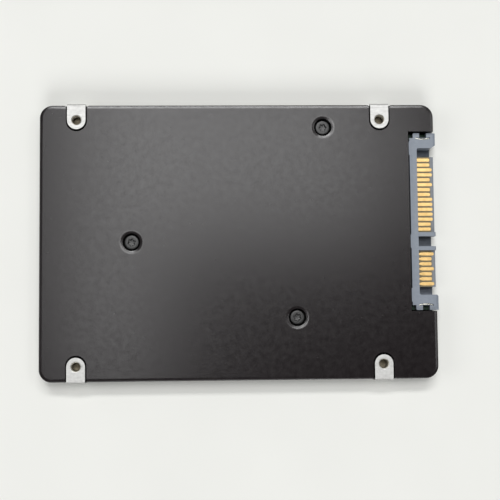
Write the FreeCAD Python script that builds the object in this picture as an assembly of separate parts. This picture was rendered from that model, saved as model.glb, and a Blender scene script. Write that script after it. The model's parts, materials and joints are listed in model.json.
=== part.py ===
"""2.5-inch solid state drive, 7 mm high, with a 22-pin plug on one end.

Millimetres. +X points towards the plug and +Z out of the mounting face; the label
face lies on Z = 0, and X = Y = 0 is the middle of the drive. Each piece of the
drive is written to parts/NAME.step.
"""
import FreeCAD, Part
import math
import os

from FreeCAD import Vector

# ---------------------------------------------------------------- driving sizes
# Envelope, and the stack of layers from the label face to the mounting pads
drive_length = 100.2            # plain end to the tips of the plug's guide arms
drive_width = 69.85             # across the machined faces of the mounting pads
floor_thickness = 1.0
base_side_gap = 1.9             # floor to board: flash chip and thermal pad
board_thickness = 1.0
cover_side_gap = 1.9            # board to cover: chip and thermal pad
cover_thickness = 1.0
pad_rise = 0.2                  # mounting pads above the cover

# Case
pad_stand_out = 0.3             # mounting pads proud of the painted sides
arm_overhang = 0.7              # guide arms beyond the end of the case
wall_thickness = 1.2
corner_radius = 3.2
edge_radius = 0.8               # rounding of the cover
label_edge_chamfer = 0.4
seam_chamfer = 0.15             # both sides of the joint between base and cover
label_recess_depth = 0.15
label_recess_margin = 3.5
label_recess_radius = 2.0
lip_height = 0.6                # locating lip under the cover
lip_thickness = 0.8
lip_gap = 0.1
rest_length = 6.0               # ledges on the long walls that carry the board
rest_depth = 1.6

# Mounting holes, M3
hole_diameter = 2.5             # drawn at the tapping size
front_hole_setback = 14.45      # arm tips to the front holes
rear_hole_setback = 9.15        # plain end to the rear holes
hole_edge_distance = 4.065      # pad face to hole axis
bottom_hole_depth = 3.0
side_hole_drop = 3.0            # mounting face to the axis of a side hole
hole_web = 0.3                  # metal between a side hole and the hole above it
hole_chamfer = 0.25
pad_radius = 2.3
pad_edge_radius = 0.45
pad_foot = 0.6                  # where the side of a pad starts above the label face
boss_radius = 4.0
notch_side_gap = 0.33           # cover to pad
notch_end_gap = 0.5
notch_mouth_radius = 0.6

# Cover screws
screw_head_diameter = 3.4
screw_head_height = 0.7
screw_shank_diameter = 1.5
screw_socket_width = 1.8        # across the corners of the driver socket
screw_socket_depth = 0.4
tapped_hole_diameter = 1.6
tapped_hole_in_floor = 0.2
screw_tip_gap = 0.1             # screw tip above the floor
standoff_diameter = 5.2
column_diameter = 6.4
well_bore_diameter = 4.45
well_dish_diameter = 6.0
well_dish_depth = 0.18
well_depth = 1.5                # cover face to the seat of the screw head
clearance_hole_diameter = 1.9
rear_screw_inset = 4.5          # from the rear edge of the board
side_screw_from_tips = 28.9     # the screw near the +Y side
side_screw_from_pad = 6.0
inner_screw_from_tips = 35.95   # the screw between the middle and the -Y side
inner_screw_from_pad = 15.8

# Circuit board
board_rear_gap = 18.4           # plain end of the case to the board
board_side_gap = 0.5
board_corner_radius = 1.0
board_boss_gap = 0.5
board_plug_gap = 0.4            # board edge to the rear of the plug
board_hole_diameter = 2.0
finger_width = 1.9              # board fingers under the ears of the plug
finger_inset = 0.1
finger_end_gap = 1.4            # finger ends short of the arm tips

# Plug housing, measured from its +Y end and back from the arm tips
plug_from_pad = 7.4             # +Y pad face to the end of the housing
plug_width = 45.1
plug_depth = 6.65
plug_gap = 0.25                 # ends of the housing to the opening in the case
plug_rear_gap = 0.55            # rear of the housing to the same opening
plug_floor_gap = 0.2
plug_rise = 1.7                 # top of the housing above the board
back_wall = 1.83
arm_width = 3.85
arm_root_radius = 0.45          # between the back wall and an arm
arm_slope_length = 0.8
arm_slope_height = 0.45
power_lead_length = 1.25        # lead-in on the arm beside the power blade
power_lead_width = 0.8
signal_lead = 0.35              # the same on both faces beside the signal blade
ear_step_length = 0.88
ear_step_width = 1.25
ear_corner_radius = 0.35
ear_pocket_gap = 0.1
rib_width = 3.4
rib_depth = 0.2
rib_height = 1.2
blade_thickness = 1.23
blade_setback = 0.3             # blade tips behind the arm tips
blade_chamfer = 0.3
blade_margin = 0.78             # last contact to the edge of a blade
leg_height = 1.2                # L keys above the blades
leg_thickness = 1.0
leg_offset = 0.88               # nearest contact to the face of an L key

# Contacts
contact_pitch = 1.27
power_contact_count = 15
signal_contact_count = 7
first_contact_from_end = 6.7    # housing end to contact P15
segment_spacing = 6.35          # contact P1 to contact S7
contact_width = 0.84
contact_thickness = 0.2
contact_proud = 0.05            # contact above the face of the blade
contact_tip_chamfer = 0.2
contact_short_setback = 1.0     # from the tip of the blade
contact_long_setback = 0.45
power_neck_width = 0.6          # where a power contact leaves the back wall
power_shoulder_length = 0.15    # neck to the full width of the contact
signal_neck_width = 0.25
signal_shoulder_length = 1.1
long_power_contacts = (3, 4, 5, 6, 7, 10, 12, 13)
long_signal_contacts = (1, 4, 7)
tail_length = 1.8
hold_down_length = 3.6          # sprung metal strip, arched towards the blades
hold_down_thickness = 0.3
hold_down_arch = 0.3
hold_down_setback = 3.2         # its middle behind the arm tips
hold_down_inset = 1.05          # end of the housing to the ends of the strip
hold_down_drop = 0.3            # below the top of the housing
hold_down_gap = 0.05            # strip to its slot
hold_down_window = 1.8          # opening from the end of the housing to the strip

# Chips and other parts on the board: length along X, width along Y, height
controller_size = (16.0, 16.0, 1.2)
controller_setback = 16.3       # board edge at the plug to the middle of the chip
dram_size = (9.0, 13.0, 1.0)
dram_gap = 3.0
flash_size = (12.0, 18.0, 1.2)
flash_gap = 2.5
flash_column_gap = 4.0
flash_row_margin = 8.0          # long edge of the board to the flash chips
flash_rear_margin = 1.0
chip_substrate = 0.3
chip_body_inset = 0.25
chip_body_draft = 0.1
thermal_pad_inset = 0.5
boot_flash_size = (6.0, 5.0, 0.8)
power_chip_size = (5.0, 5.0, 0.9)
load_switch_size = (3.0, 3.0, 0.8)
crystal_size = (3.2, 2.5, 0.7)
inductor_size = (4.0, 4.0, 1.4)
tantalum_size = (7.3, 4.3, 1.4)
tantalum_count = 3
suppressor_size = (2.7, 1.6, 1.1)
fuse_size = (3.2, 1.6, 0.8)
capacitor_size = (1.0, 0.5, 0.5)
resistor_size = (1.0, 0.5, 0.35)
end_cap_rise = 0.03
capacitors_per_side = 6
resistor_count = 5
part_spacing = 1.2              # between neighbouring parts on the board

# ---------------------------------------------------------------- derived sizes
floor_top = floor_thickness
board_bottom = floor_top + base_side_gap
board_top = board_bottom + board_thickness
cover_bottom = board_top + cover_side_gap
cover_top = cover_bottom + cover_thickness
drive_height = cover_top + pad_rise

arm_tips = drive_length / 2
case_front = arm_tips - arm_overhang
case_rear = -drive_length / 2
pad_face = drive_width / 2
case_side = pad_face - pad_stand_out
inner_side = case_side - wall_thickness

hole_columns = (case_rear + rear_hole_setback, arm_tips - front_hole_setback)
hole_row = pad_face - hole_edge_distance
side_hole_height = drive_height - side_hole_drop
side_hole_depth = hole_edge_distance - hole_diameter / 2 - hole_web

plug_high = pad_face - plug_from_pad
plug_low = plug_high - plug_width
plug_rear = arm_tips - plug_depth
plug_bottom = floor_top + plug_floor_gap
plug_top = board_top + plug_rise
wall_face = plug_rear + back_wall
blade_tips = arm_tips - blade_setback
blade_top = board_top + contact_thickness - contact_proud
blade_bottom = blade_top - blade_thickness
hold_down_place = arm_tips - hold_down_setback
finger_end = arm_tips - finger_end_gap

board_rear = case_rear + board_rear_gap
board_front = plug_rear - board_plug_gap
board_side = inner_side - board_side_gap

well_seat = cover_top - well_depth
screw_places = (
    (board_rear + rear_screw_inset, 0.0),
    (arm_tips - side_screw_from_tips, pad_face - side_screw_from_pad),
    (arm_tips - inner_screw_from_tips, -pad_face + inner_screw_from_pad),
)

# Contact rows along Y, each in the order of its pin numbers from 1 upwards
power_row_end = plug_high - first_contact_from_end
power_row_start = power_row_end - (power_contact_count - 1) * contact_pitch
signal_row_end = power_row_start - segment_spacing
signal_row_start = signal_row_end - (signal_contact_count - 1) * contact_pitch

controller_x = board_front - controller_setback
controller_y = (plug_high + plug_low) / 2
dram_x = controller_x - controller_size[0] / 2 - dram_gap - dram_size[0] / 2
flash_pitch = flash_size[0] + flash_column_gap
flash_right = dram_x - dram_size[0] / 2 - flash_gap
flash_row = board_side - flash_row_margin - flash_size[1] / 2


# ---------------------------------------------------------------- shape helpers
same_place = 1e-6               # points closer than this are one point


def rounded_face(corners):
    """Flat face at Z = 0 through (x, y, radius) corners, each rounded by its radius."""
    turns = []
    for index, (x, y, radius) in enumerate(corners):
        here = Vector(x, y, 0)
        before = Vector(*corners[index - 1][:2], 0)
        after = Vector(*corners[(index + 1) % len(corners)][:2], 0)
        towards_before = (before - here).normalize()
        towards_after = (after - here).normalize()
        half_angle = towards_before.getAngle(towards_after) / 2
        setback = radius / math.tan(half_angle)
        middle = here
        if radius:
            bisector = (towards_before + towards_after).normalize()
            middle = here + bisector * (radius / math.sin(half_angle) - radius)
        turns.append((here + towards_before * setback, middle, here + towards_after * setback))
    edges = []
    for index, (start, middle, end) in enumerate(turns):
        last_end = turns[index - 1][2]
        if (start - last_end).Length > same_place:
            edges.append(Part.makeLine(last_end, start))
        if (end - start).Length > same_place:
            edges.append(Part.Arc(start, middle, end).toShape())
    return Part.Face(Part.Wire(edges))


def prism(face, bottom, top):
    """The face as an upright solid between two heights."""
    lifted = face.copy()
    lifted.translate(Vector(0, 0, bottom))
    return lifted.extrude(Vector(0, 0, top - bottom))


def block(x_range, y_range, z_range, radius=0.0):
    """Upright rectangular block with round corners in plan."""
    (x0, x1), (y0, y1) = sorted(x_range), sorted(y_range)
    corners = [(x0, y0, radius), (x1, y0, radius), (x1, y1, radius), (x0, y1, radius)]
    return prism(rounded_face(corners), *z_range)


def round_column(place, diameter, bottom, top):
    return Part.makeCylinder(diameter / 2, top - bottom, Vector(place[0], place[1], bottom))


def side_profile(points, y_range):
    """(x, z) outline drawn on an XZ plane and extruded along Y."""
    low, high = sorted(y_range)
    wire = Part.makePolygon([Vector(x, low, z) for x, z in points + points[:1]])
    return Part.Face(wire).extrude(Vector(0, high - low, 0))


def edges_at(shape, height):
    return [e for e in shape.Edges if all(abs(v.Z - height) < same_place for v in e.Vertexes)]


def d_column(hole_x, side, radius, outer, bottom, top):
    """D-shaped column on a long side: straight at the outside, round about its hole."""
    inner = hole_row - radius
    corners = [
        (hole_x - radius, side * outer, 0),
        (hole_x + radius, side * outer, 0),
        (hole_x + radius, side * inner, radius),
        (hole_x - radius, side * inner, radius),
    ]
    return prism(rounded_face(corners), bottom, top)


def case_block(inset, bottom, top):
    """Block with the outline of the case, moved in by inset."""
    return block(
        (case_rear + inset, case_front - inset),
        (-case_side + inset, case_side - inset),
        (bottom, top),
        corner_radius - inset,
    )


def plug_opening(bottom, top):
    """Room round the plug, from behind it to past the end of the case."""
    return block(
        (plug_rear - plug_rear_gap, arm_tips + plug_gap),
        (plug_low - plug_gap, plug_high + plug_gap),
        (bottom, top),
    )


mounting_places = [(x, side) for x in hole_columns for side in (1, -1)]


# ---------------------------------------------------------------- case
def mounting_pad(hole_x, side):
    """Machined pad: its top takes the bottom screw and its side the side screw."""
    pad = d_column(hole_x, side, pad_radius, pad_face, pad_foot, drive_height)
    rim = [
        e for e in edges_at(pad, drive_height)
        if all(abs(v.Y - side * pad_face) < same_place for v in e.Vertexes)
    ]
    return pad.makeFillet(pad_edge_radius, rim)


def mounting_holes(hole_x, side):
    """Bottom hole with its chamfer, and side hole, of one corner."""
    place = (hole_x, side * hole_row)
    radius = hole_diameter / 2
    mouth = radius + hole_chamfer
    from_top = round_column(place, hole_diameter, drive_height - bottom_hole_depth, drive_height)
    top_cone = Part.makeCone(
        radius, mouth, hole_chamfer, Vector(*place, drive_height - hole_chamfer)
    )
    face_point = Vector(hole_x, side * pad_face, side_hole_height)
    from_side = Part.makeCylinder(radius, side_hole_depth, face_point, Vector(0, -side, 0))
    return from_top.fuse([top_cone, from_side])


def board_rests():
    """Ledges on the long walls that the edges of the board lie on."""
    rests = []
    for side in (1, -1):
        for place in (board_rear + rest_length, 0.0):
            rests.append(block(
                (place - rest_length / 2, place + rest_length / 2),
                (side * (inner_side - rest_depth), side * (inner_side + wall_thickness / 2)),
                (floor_top, board_bottom),
            ))
    return rests


def make_base_case():
    """Die-cast tray with corner bosses, standoffs and an opening for the plug."""
    case = case_block(0, 0, cover_bottom)
    case = case.makeChamfer(label_edge_chamfer, edges_at(case, 0))
    case = case.makeChamfer(seam_chamfer, edges_at(case, cover_bottom))
    case = case.cut(case_block(wall_thickness, floor_top, cover_top))
    recess = block(
        (case_rear + label_recess_margin, case_front - label_recess_margin),
        (-case_side + label_recess_margin, case_side - label_recess_margin),
        (0, label_recess_depth),
        label_recess_radius,
    )
    case = case.cut([recess, plug_opening(floor_top, cover_top)])
    added = board_rests()
    for hole_x, side in mounting_places:
        root = inner_side + wall_thickness / 2
        added.append(d_column(hole_x, side, boss_radius, root, floor_top, cover_bottom))
        added.append(mounting_pad(hole_x, side))
    for place in screw_places:
        added.append(round_column(place, standoff_diameter, floor_top, board_bottom))
    drilled = [mounting_holes(hole_x, side) for hole_x, side in mounting_places]
    for place in screw_places:
        hole_bottom = floor_top - tapped_hole_in_floor
        drilled.append(round_column(place, tapped_hole_diameter, hole_bottom, board_bottom))
    return case.fuse(added).cut(drilled).removeSplitter()


def pad_notch(hole_x, side):
    """U-shaped notch with a flared mouth, cut in the cover round one pad."""
    half = pad_radius + notch_side_gap
    end = hole_row - pad_radius - notch_end_gap
    mouth = notch_mouth_radius
    outside = case_side + mouth
    corners = [
        (hole_x - half - 2 * mouth, side * outside, 0),
        (hole_x - half - 2 * mouth, side * case_side, 0),
        (hole_x - half, side * case_side, mouth),
        (hole_x - half, side * end, half),
        (hole_x + half, side * end, half),
        (hole_x + half, side * case_side, mouth),
        (hole_x + half + 2 * mouth, side * case_side, 0),
        (hole_x + half + 2 * mouth, side * outside, 0),
    ]
    return prism(rounded_face(corners), cover_bottom - lip_height, drive_height)


def screw_well(place):
    """Dished well, bore for the screw head and clearance hole, as one turned cut."""
    dish, bore = well_dish_diameter / 2, well_bore_diameter / 2
    hole = clearance_hole_diameter / 2
    profile = Part.makePolygon([
        Vector(0, 0, board_top),
        Vector(hole, 0, board_top),
        Vector(hole, 0, well_seat),
        Vector(bore, 0, well_seat),
        Vector(bore, 0, cover_top - well_dish_depth),
        Vector(dish, 0, cover_top),
        Vector(0, 0, cover_top),
        Vector(0, 0, board_top),
    ])
    cut = Part.Face(profile).revolve(Vector(0, 0, 0), Vector(0, 0, 1), 360)
    cut.translate(Vector(*place, 0))
    return cut


def make_cover():
    """Flat cover with screw wells over hollow columns, and a locating lip below."""
    plate = case_block(0, cover_bottom, cover_top)
    plate = plate.makeFillet(edge_radius, edges_at(plate, cover_top))
    plate = plate.makeChamfer(seam_chamfer, edges_at(plate, cover_bottom))
    lip_outside = wall_thickness + lip_gap
    lip_inside = lip_outside + lip_thickness
    lip_levels = (cover_bottom - lip_height, cover_bottom)
    lip_room = [
        d_column(x, side, boss_radius + lip_gap, pad_face, *lip_levels)
        for x, side in mounting_places
    ]
    lip_room.append(block(
        (case_rear + lip_inside, case_front - lip_inside),
        (-case_side + lip_inside, case_side - lip_inside),
        lip_levels,
    ))
    lip = case_block(lip_outside, *lip_levels).cut(lip_room)
    columns = [round_column(place, column_diameter, board_top, cover_bottom) for place in screw_places]
    cuts = [pad_notch(x, side) for x, side in mounting_places]
    cuts += [screw_well(place) for place in screw_places]
    cuts.append(plug_opening(cover_bottom - lip_height, drive_height))
    return plate.fuse([lip] + columns).cut(cuts).removeSplitter()


def cover_screw(place):
    """Low-head machine screw with a six-sided driver socket, seated in its well."""
    head = round_column(place, screw_head_diameter, well_seat, well_seat + screw_head_height)
    shank = round_column(place, screw_shank_diameter, floor_top + screw_tip_gap, well_seat)
    turns = [math.radians(60 * corner) for corner in range(6)]
    reach = screw_socket_width / 2
    socket = prism(
        rounded_face([
            (place[0] + reach * math.cos(turn), place[1] + reach * math.sin(turn), 0)
            for turn in turns
        ]),
        well_seat + screw_head_height - screw_socket_depth, cover_top,
    )
    return head.fuse(shank).cut(socket)


# ---------------------------------------------------------------- board
def finger_block(y_end, side):
    """Board finger under an ear of the plug; y_end is the end of the housing."""
    start = y_end - side * finger_inset
    return block(
        (board_front - board_corner_radius, finger_end),
        (start - side * finger_width, start),
        (board_bottom, board_top),
    )


def make_circuit_board():
    """Board cut back round the corner bosses, with a finger under each plug ear."""
    board = block(
        (board_rear, board_front), (-board_side, board_side),
        (board_bottom, board_top), board_corner_radius,
    )
    board = board.fuse([finger_block(plug_high, 1), finger_block(plug_low, -1)])
    cuts = [
        d_column(x, side, boss_radius + board_boss_gap, pad_face, board_bottom, board_top)
        for x, side in mounting_places
    ]
    for place in screw_places:
        cuts.append(round_column(place, board_hole_diameter, board_bottom, board_top))
    return board.cut(cuts).removeSplitter()


def packaged_chip(place, size, faces_up=True):
    """Moulded package on its substrate, on the upper or the lower face of the board."""
    length, width, height = size
    half_length, half_width = length / 2, width / 2
    substrate = min(chip_substrate, height / 2)
    base = block((-half_length, half_length), (-half_width, half_width), (0, substrate))
    outlines = []
    for inset, level in ((chip_body_inset, substrate), (chip_body_inset + chip_body_draft, height)):
        x, y = half_length - inset, half_width - inset
        points = [(-x, -y), (x, -y), (x, y), (-x, y), (-x, -y)]
        outlines.append(Part.makePolygon([Vector(px, py, level) for px, py in points]))
    chip = base.fuse(Part.makeLoft(outlines, True)).removeSplitter()
    if not faces_up:
        chip.rotate(Vector(0, 0, 0), Vector(1, 0, 0), 180)
    chip.translate(Vector(*place, board_top if faces_up else board_bottom))
    return chip


def thermal_pad(place, chip_size, faces_up=True):
    """Soft pad that fills the gap from a chip to the cover or to the floor."""
    x, y = place
    half_length = chip_size[0] / 2 - thermal_pad_inset
    half_width = chip_size[1] / 2 - thermal_pad_inset
    heights = (floor_top, board_bottom - chip_size[2])
    if faces_up:
        heights = (board_top + chip_size[2], cover_bottom)
    return block((x - half_length, x + half_length), (y - half_width, y + half_width), heights)


def small_part(place, size):
    """Rectangular body with end caps a hair taller than its middle."""
    length, width, height = size
    middle = height - end_cap_rise
    end, cap = length / 2, length / 5
    outline = [
        (-end, 0), (end, 0), (end, height), (end - cap, height),
        (end - cap, middle), (cap - end, middle), (cap - end, height), (-end, height),
    ]
    piece = side_profile(outline, (-width / 2, width / 2))
    piece.translate(Vector(*place, board_top))
    return piece


def wound_inductor(place):
    """Square shielded inductor with cut corners and a chamfered top."""
    length, width, height = inductor_size
    body = block((-length / 2, length / 2), (-width / 2, width / 2), (0, height))
    upright = [e for e in body.Edges if e.BoundBox.ZLength > height / 2]
    body = body.makeChamfer(length / 6, upright)
    body = body.makeChamfer(height / 6, edges_at(body, height))
    body.translate(Vector(*place, board_top))
    return body


# Places of the parts on the board
flash_column_count = int((flash_right - board_rear - flash_rear_margin + flash_column_gap) // flash_pitch)
flash_places = [
    (flash_right - flash_size[0] / 2 - column * flash_pitch, side * flash_row)
    for column in range(flash_column_count)
    for side in (1, -1)
]
controller_low = controller_y - controller_size[1] / 2
controller_high = controller_y + controller_size[1] / 2
controller_front = controller_x + controller_size[0] / 2
capacitor_row = part_spacing + capacitor_size[1] / 2
below_capacitors = controller_low - capacitor_row - capacitor_size[1] / 2 - part_spacing
boot_flash_place = (
    controller_x - boot_flash_size[0] / 2 - part_spacing,
    below_capacitors - boot_flash_size[1] / 2,
)
crystal_place = (controller_x + crystal_size[0] / 2 + part_spacing, below_capacitors - crystal_size[1] / 2)
power_chip_place = (
    controller_x + power_chip_size[0] / 2 + part_spacing,
    crystal_place[1] - crystal_size[1] / 2 - 2 * part_spacing - power_chip_size[1] / 2,
)
inductor_offset = power_chip_size[0] / 2 + part_spacing + inductor_size[0] / 2
inductor_places = [(power_chip_place[0] + side * inductor_offset, power_chip_place[1]) for side in (1, -1)]
supply_x = controller_front + part_spacing + fuse_size[0] / 2
supply_y = power_row_start + (power_contact_count / 2) * contact_pitch
fuse_place = (supply_x, supply_y)
suppressor_place = (supply_x, supply_y + fuse_size[1] / 2 + part_spacing + suppressor_size[1] / 2)
load_switch_place = (supply_x, supply_y - fuse_size[1] / 2 - part_spacing - load_switch_size[1] / 2)
tantalum_x = screw_places[1][0] - column_diameter / 2 - part_spacing - tantalum_size[0] / 2
tantalum_y = board_side - part_spacing - tantalum_size[1] / 2
tantalum_places = [
    (tantalum_x - index * (tantalum_size[0] + part_spacing), tantalum_y)
    for index in range(tantalum_count)
]


def make_ceramic_capacitors():
    """Rows of decoupling capacitors along two sides of the controller."""
    pitch = controller_size[0] / capacitors_per_side
    first = controller_x - controller_size[0] / 2 + pitch / 2
    rows = (controller_low - capacitor_row, controller_high + capacitor_row)
    return Part.makeCompound([
        small_part((first + index * pitch, row), capacitor_size)
        for row in rows
        for index in range(capacitors_per_side)
    ])


def make_chip_resistors():
    """Column of resistors behind the boot memory."""
    x = boot_flash_place[0] - boot_flash_size[0] / 2 - part_spacing - resistor_size[0] / 2
    first = below_capacitors - resistor_size[1] / 2
    pitch = resistor_size[1] + part_spacing / 2
    return Part.makeCompound([
        small_part((x, first - index * pitch), resistor_size) for index in range(resistor_count)
    ])


# ---------------------------------------------------------------- plug
def contact_strip(y, long, neck_width, shoulder_length):
    """One stamped contact: tail on the board, neck through the wall, pad on the blade."""
    tip = blade_tips - (contact_long_setback if long else contact_short_setback)
    half, thin = contact_width / 2, neck_width / 2
    half_widths = [
        (board_front - tail_length, thin),
        (wall_face, thin),
        (wall_face + shoulder_length, half),
        (tip - contact_tip_chamfer, half),
        (tip, half - contact_tip_chamfer),
    ]
    corners = [(x, y + width, 0) for x, width in half_widths]
    corners += [(x, y - width, 0) for x, width in reversed(half_widths)]
    return prism(rounded_face(corners), board_top, board_top + contact_thickness)


def contact_row(start, count, long_numbers, neck_width, shoulder_length):
    """Contacts 1 to count along +Y, the long ones mating first."""
    return Part.makeCompound([
        contact_strip(
            start + (number - 1) * contact_pitch, number in long_numbers, neck_width,
            shoulder_length,
        )
        for number in range(1, count + 1)
    ])


def housing_body():
    """Back wall, ears and guide arms in one moulding, sloped above and below at the tips."""
    ear_rear = plug_rear + ear_step_length
    power_inside = plug_high - arm_width
    signal_inside = plug_low + arm_width
    plan = rounded_face([
        (plug_rear, plug_high - ear_step_width, 0),
        (ear_rear, plug_high - ear_step_width, 0),
        (ear_rear, plug_high, ear_corner_radius),
        (arm_tips, plug_high, 0),
        (arm_tips, power_inside + power_lead_width, 0),
        (arm_tips - power_lead_length, power_inside, 0),
        (wall_face, power_inside, arm_root_radius),
        (wall_face, signal_inside, arm_root_radius),
        (arm_tips - signal_lead, signal_inside, 0),
        (arm_tips, signal_inside - signal_lead, 0),
        (arm_tips, plug_low, 0),
        (ear_rear, plug_low, ear_corner_radius),
        (ear_rear, plug_low + ear_step_width, 0),
        (plug_rear, plug_low + ear_step_width, 0),
    ])
    slope_start = arm_tips - arm_slope_length
    side_view = side_profile(
        [
            (plug_rear, plug_bottom),
            (slope_start, plug_bottom),
            (arm_tips, plug_bottom + arm_slope_height),
            (arm_tips, plug_top - arm_slope_height),
            (slope_start, plug_top),
            (plug_rear, plug_top),
        ],
        (plug_low, plug_high),
    )
    return prism(plan, plug_bottom, plug_top).common(side_view)


def arched_strip(y_end, side, gap, bottom, top):
    """Upright arched strip in an ear, grown by the gap; y_end is the end of the housing."""
    half = hold_down_length / 2 + gap
    x = hold_down_place
    outer_faces = []
    for inset in (hold_down_inset - gap, hold_down_inset + hold_down_thickness + gap):
        y = y_end - side * inset
        crown = y - side * hold_down_arch
        outer_faces.append([Vector(x - half, y, 0), Vector(x, crown, 0), Vector(x + half, y, 0)])
    (low_start, low_crown, low_end), (high_start, high_crown, high_end) = outer_faces
    wire = Part.Wire([
        Part.Arc(low_start, low_crown, low_end).toShape(),
        Part.makeLine(low_end, high_end),
        Part.Arc(high_end, high_crown, high_start).toShape(),
        Part.makeLine(high_start, low_start),
    ])
    return prism(Part.Face(wire), bottom, top)


def ear_cuts(y_end, side):
    """Pocket for the board finger, slot for the hold-down and the window in front of it."""
    finger_edge = y_end - side * (finger_inset + finger_width + ear_pocket_gap)
    pocket = block(
        (plug_rear, finger_end + ear_pocket_gap), (y_end, finger_edge), (plug_bottom, board_top)
    )
    slot = arched_strip(y_end, side, hold_down_gap, board_top, plug_top)
    window = block(
        (hold_down_place - hold_down_window / 2, hold_down_place + hold_down_window / 2),
        (y_end, y_end - side * (hold_down_inset + hold_down_arch / 2)),
        (board_top, plug_top),
    )
    return [pocket, slot, window]


def keyed_blade(contact_end, contact_start, leg_side):
    """Blade under one row of contacts, with its L key on the side towards leg_side."""
    outer_contact, inner_contact = contact_end, contact_start
    if leg_side > 0:
        outer_contact, inner_contact = contact_start, contact_end
    outer_edge = outer_contact - leg_side * blade_margin
    leg_face = inner_contact + leg_side * leg_offset
    leg_outside = leg_face + leg_side * leg_thickness
    chamfer = blade_chamfer
    blade = side_profile(
        [
            (plug_rear, blade_bottom),
            (blade_tips - chamfer, blade_bottom),
            (blade_tips, blade_bottom + chamfer),
            (blade_tips, blade_top - chamfer),
            (blade_tips - chamfer, blade_top),
            (plug_rear, blade_top),
        ],
        (outer_edge, leg_outside),
    )
    leg_top = blade_top + leg_height
    leg = side_profile(
        [
            (plug_rear, blade_bottom),
            (blade_tips - chamfer, blade_bottom),
            (blade_tips, blade_bottom + chamfer),
            (blade_tips, leg_top - chamfer),
            (blade_tips - chamfer, leg_top),
            (plug_rear, leg_top),
        ],
        (leg_face, leg_outside),
    )
    return blade.fuse(leg)


def make_connector_housing(contacts):
    """Moulded plug body: back wall, two keyed blades, two guide arms and rear ribs."""
    segment_middle = (power_row_start + signal_row_end) / 2
    rib_places = (plug_high - arm_width, segment_middle, plug_low + arm_width)
    ribs = [
        block(
            (plug_rear - rib_depth, plug_rear), (y - rib_width / 2, y + rib_width / 2),
            (plug_top - rib_height, plug_top),
        )
        for y in rib_places
    ]
    blades = [
        keyed_blade(power_row_end, power_row_start, -1),
        keyed_blade(signal_row_end, signal_row_start, 1),
    ]
    body = housing_body().cut(ear_cuts(plug_high, 1) + ear_cuts(plug_low, -1))
    return body.fuse(blades + ribs).cut(contacts).removeSplitter()


def hold_down(y_end, side):
    """Sprung metal board lock, standing on the board in the slot of an ear."""
    return arched_strip(y_end, side, 0, board_top, plug_top - hold_down_drop)


# ---------------------------------------------------------------- whole drive
def make_pieces():
    """All pieces of the drive, by name."""
    power_contacts = contact_row(
        power_row_start, power_contact_count, long_power_contacts, power_neck_width,
        power_shoulder_length,
    )
    signal_contacts = contact_row(
        signal_row_start, signal_contact_count, long_signal_contacts, signal_neck_width,
        signal_shoulder_length,
    )
    dram_place = (dram_x, controller_y)
    controller_place = (controller_x, controller_y)
    return {
        "base_case": make_base_case(),
        "cover": make_cover(),
        "cover_screws": Part.makeCompound([cover_screw(place) for place in screw_places]),
        "circuit_board": make_circuit_board(),
        "connector_housing": make_connector_housing(power_contacts.Solids + signal_contacts.Solids),
        "power_contacts": power_contacts,
        "signal_contacts": signal_contacts,
        "connector_hold_downs": Part.makeCompound([hold_down(plug_high, 1), hold_down(plug_low, -1)]),
        "controller_chip": packaged_chip(controller_place, controller_size),
        "controller_thermal_pad": thermal_pad(controller_place, controller_size),
        "dram_chip": packaged_chip(dram_place, dram_size),
        "dram_thermal_pad": thermal_pad(dram_place, dram_size),
        "flash_chips_cover_side": Part.makeCompound(
            [packaged_chip(place, flash_size) for place in flash_places]
        ),
        "flash_thermal_pads_cover_side": Part.makeCompound(
            [thermal_pad(place, flash_size) for place in flash_places]
        ),
        "flash_chips_base_side": Part.makeCompound(
            [packaged_chip(place, flash_size, faces_up=False) for place in flash_places]
        ),
        "flash_thermal_pads_base_side": Part.makeCompound(
            [thermal_pad(place, flash_size, faces_up=False) for place in flash_places]
        ),
        "boot_flash_chip": packaged_chip(boot_flash_place, boot_flash_size),
        "power_management_chip": packaged_chip(power_chip_place, power_chip_size),
        "load_switch": packaged_chip(load_switch_place, load_switch_size),
        "clock_crystal": packaged_chip(crystal_place, crystal_size),
        "power_inductors": Part.makeCompound([wound_inductor(place) for place in inductor_places]),
        "tantalum_capacitors": Part.makeCompound(
            [small_part(place, tantalum_size) for place in tantalum_places]
        ),
        "ceramic_capacitors": make_ceramic_capacitors(),
        "chip_resistors": make_chip_resistors(),
        "surge_suppressor": small_part(suppressor_place, suppressor_size),
        "fuse": small_part(fuse_place, fuse_size),
    }


os.makedirs("parts", exist_ok=True)
for name, shape in make_pieces().items():
    shape.exportStep("parts/" + name + ".step")
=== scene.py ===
"""Looks of the solid state drive, built round its CAD frame. Metres, +Z out of the mounting face."""
import json
import math

import bmesh
import bpy
from mathutils import Matrix, Vector


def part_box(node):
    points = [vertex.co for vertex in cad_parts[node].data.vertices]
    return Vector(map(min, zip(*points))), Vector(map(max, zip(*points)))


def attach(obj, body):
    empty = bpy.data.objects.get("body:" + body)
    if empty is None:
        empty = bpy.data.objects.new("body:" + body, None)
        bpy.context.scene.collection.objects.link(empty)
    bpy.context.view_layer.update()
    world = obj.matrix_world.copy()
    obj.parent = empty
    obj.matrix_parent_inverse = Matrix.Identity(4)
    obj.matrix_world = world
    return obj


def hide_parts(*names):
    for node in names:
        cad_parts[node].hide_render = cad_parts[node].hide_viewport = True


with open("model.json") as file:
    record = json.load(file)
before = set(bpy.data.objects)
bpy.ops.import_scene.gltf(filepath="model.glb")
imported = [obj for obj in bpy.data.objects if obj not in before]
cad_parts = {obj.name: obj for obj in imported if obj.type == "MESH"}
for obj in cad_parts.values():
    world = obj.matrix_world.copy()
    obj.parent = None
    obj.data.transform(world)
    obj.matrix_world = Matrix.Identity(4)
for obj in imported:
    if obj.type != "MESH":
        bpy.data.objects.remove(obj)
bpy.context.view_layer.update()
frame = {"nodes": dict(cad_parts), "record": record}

mm = 0.001


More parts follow.
